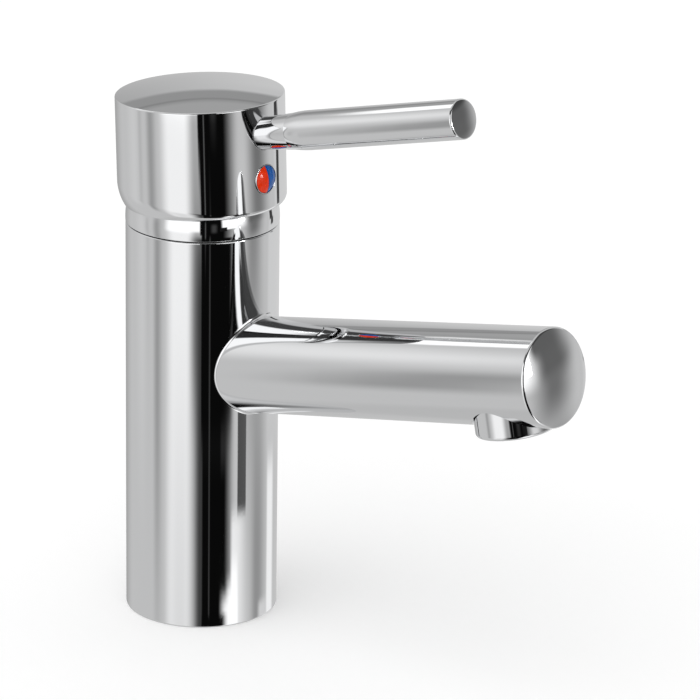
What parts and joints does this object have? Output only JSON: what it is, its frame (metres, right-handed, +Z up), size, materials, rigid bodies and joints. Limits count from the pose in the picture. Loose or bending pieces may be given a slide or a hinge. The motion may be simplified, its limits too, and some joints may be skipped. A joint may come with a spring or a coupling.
{
  "type": "bathroom mixer faucet",
  "caption": "Single-lever basin mixer: a chromed cylinder body with a straight round spout, a tilting and turning head with a pin lever, a disc cartridge and an aerator.",
  "frame": {"origin": "on the body's axis, in the plane of the deck that it stands on", "axes": "+Z up, the spout and the lever point to -Y, the hot side of the index is on -X"},
  "size_m": [0.0506, 0.1613, 0.1784],
  "materials": {
    "chrome": "polished chrome plate on cast brass",
    "rubber": "matt black rubber",
    "brass": "bare turned brass",
    "white_plastic": "moulded engineering plastic",
    "ceramic": "lapped white ceramic",
    "red_plastic": "glossy red plastic",
    "steel": "plain stainless steel",
    "grey_plastic": "moulded engineering plastic",
    "blue_plastic": "glossy blue plastic"
  },
  "bodies": {
    "body": {"body_casting": "chrome", "base_gasket": "rubber", "collar_ring": "chrome", "collar_seal": "rubber", "retaining_nut": "brass", "cartridge_housing": "white_plastic", "cartridge_base": "white_plastic", "inlet_seal_hot": "rubber", "inlet_seal_cold": "rubber", "outlet_seal": "rubber", "fixed_disc": "ceramic", "limit_ring": "red_plastic", "aerator_housing": "chrome", "aerator_washer": "rubber", "aerator_screen": "steel", "aerator_insert": "grey_plastic"},
    "rotor": {"cartridge_rotor": "grey_plastic", "rotor_seal": "rubber", "pivot_pin": "steel"},
    "disc": {"moving_disc": "ceramic", "disc_carrier": "white_plastic"},
    "head": {"head_shell": "chrome", "stem": "brass", "lever_bar": "chrome", "set_screw": "steel", "index_cup": "chrome", "index_red": "red_plastic", "index_blue": "blue_plastic"}
  },
  "joints": [
    {"name": "temperature_turn", "type": "hinge", "parent": "body", "child": "rotor", "pos_m": [0, 0, 0.1255], "axis": [0, 0, 1], "range_deg": [-45, 45]},
    {"name": "lever_lift", "type": "hinge", "parent": "rotor", "child": "head", "pos_m": [0, 0, 0.1255], "axis": [-1, 0, 0], "range_deg": [-2.05, 16]},
    {"name": "disc_slide", "type": "slide", "parent": "rotor", "child": "disc", "axis": [0, -1, 0], "range_m": [-0.0006, 0.00465]}
  ],
  "couplings": [
    {"joint": "disc_slide", "follows": "lever_lift", "m_per_rad": 0.0166}
  ]
}
